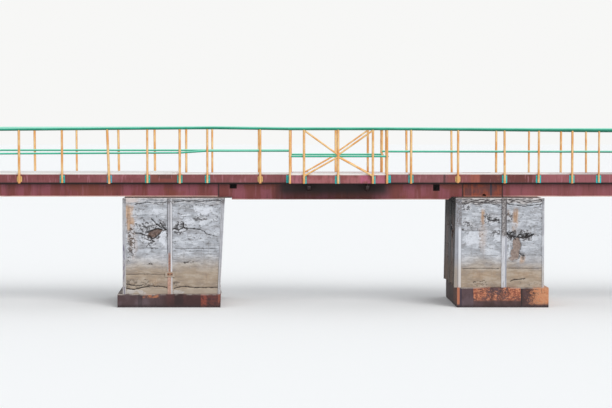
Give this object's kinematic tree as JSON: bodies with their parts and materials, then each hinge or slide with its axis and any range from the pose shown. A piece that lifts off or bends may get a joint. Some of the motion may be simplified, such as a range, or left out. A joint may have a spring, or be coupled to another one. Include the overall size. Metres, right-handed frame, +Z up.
{
  "type": "pedestrian girder bridge",
  "caption": "Narrow iron footbridge: a plank deck on steel girders with pipe railings and a cross-braced viewing bay on each side, on square concrete piers with steel bases.",
  "frame": {"origin": "centre of the bridge at the foot of the steel bases, midway between the two inner piers", "axes": "+X along the deck, +Y across it, away from the side in the picture, +Z up"},
  "size_m": [26.1004, 3.176, 4.302],
  "materials": {
    "concrete": "matte",
    "base_steel": "matte",
    "strap_steel": "matte",
    "deck_boards": "matte",
    "post_paint": "satin",
    "rail_paint": "satin",
    "plate_paint": "satin",
    "link_rust": "matte",
    "beam_paint": "satin"
  },
  "bodies": {
    "root": {"base_inner_left": "base_steel", "base_inner_right": "base_steel", "base_outer_left": "base_steel", "base_outer_right": "base_steel", "bay_brace_far": "post_paint", "bay_brace_near": "post_paint", "bay_frame_far": "beam_paint", "bay_frame_near": "beam_paint", "bay_posts_far": "post_paint", "bay_posts_near": "post_paint", "bay_rails_far": "rail_paint", "bay_rails_near": "rail_paint", "concrete_inner_left": "concrete", "concrete_inner_right": "concrete", "concrete_outer_left": "concrete", "concrete_outer_right": "concrete", "cross_beams": "beam_paint", "deck_bay_far": "deck_boards", "deck_bay_near": "deck_boards", "deck_left": "deck_boards", "deck_mid": "deck_boards", "deck_right": "deck_boards", "edge_channel_far": "beam_paint", "edge_channel_near": "beam_paint", "girder_far_left": "beam_paint", "girder_far_link": "link_rust", "girder_far_mid": "beam_paint", "girder_far_right": "beam_paint", "girder_near_left": "beam_paint", "girder_near_link": "link_rust", "girder_near_mid": "beam_paint", "girder_near_right": "beam_paint", "outriggers": "beam_paint", "post_plates_far": "plate_paint", "post_plates_near": "plate_paint", "posts_far_left": "post_paint", "posts_far_right": "post_paint", "posts_near_left": "post_paint", "posts_near_right": "post_paint", "rails_far_left": "rail_paint", "rails_far_right": "rail_paint", "rails_near_left": "rail_paint", "rails_near_right": "rail_paint", "seat_plates": "beam_paint", "straps_inner_left": "strap_steel", "straps_inner_right": "strap_steel", "straps_outer_left": "strap_steel", "straps_outer_right": "strap_steel"}
  },
  "joints": []
}
